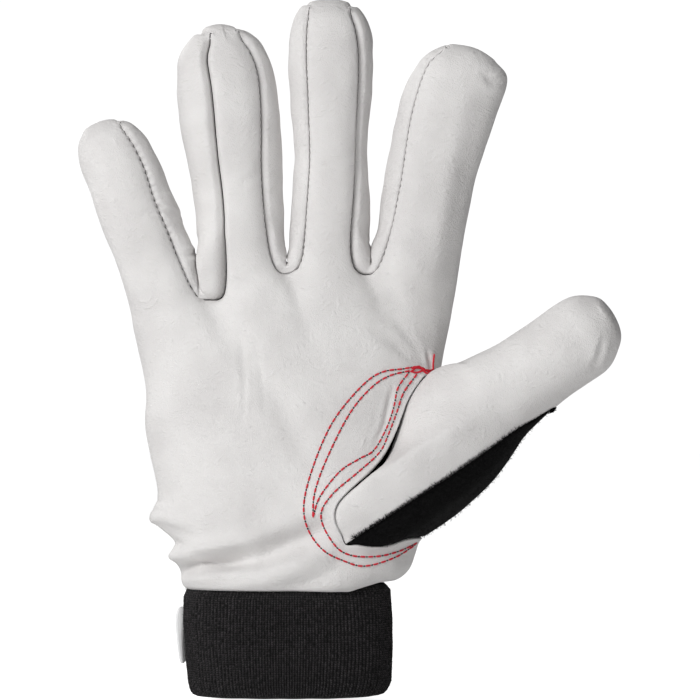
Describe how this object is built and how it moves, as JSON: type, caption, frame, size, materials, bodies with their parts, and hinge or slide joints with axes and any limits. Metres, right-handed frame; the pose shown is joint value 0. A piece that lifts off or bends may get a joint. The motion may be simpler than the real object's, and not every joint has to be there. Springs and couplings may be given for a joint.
{
  "type": "leather palm work glove with knit cuff, right hand",
  "caption": "Right-hand work glove held as worn: grain leather palm, finger fronts and thumb, dark fabric back, ribbed knit wrist cuff, open hollow inside.",
  "frame": {"origin": "centre of the wrist opening, in the plane of the cuff's lower edge", "axes": "+Z from the wrist opening to the fingertips, palm faces -Y, thumb points to +X"},
  "size_m": [0.1953, 0.0567, 0.2498],
  "materials": {
    "grain_leather": "white full-grain, soft low sheen, red and white sewing thread",
    "back_knit": "black jersey knit, matt",
    "thumb_fleece": "black brushed fleece knit, matt",
    "rib_knit": "black fine rib knit, matt",
    "tab_leather": "plain white, smooth"
  },
  "bodies": {
    "root": {"palm_leather": "grain_leather", "fourchette_little_ring": "grain_leather", "fourchette_ring_middle": "grain_leather", "fourchette_middle_index": "grain_leather", "thumb_leather": "grain_leather", "back_fabric": "back_knit", "thumb_back_fabric": "thumb_fleece", "knit_cuff": "rib_knit", "cuff_tab": "tab_leather"}
  },
  "joints": []
}
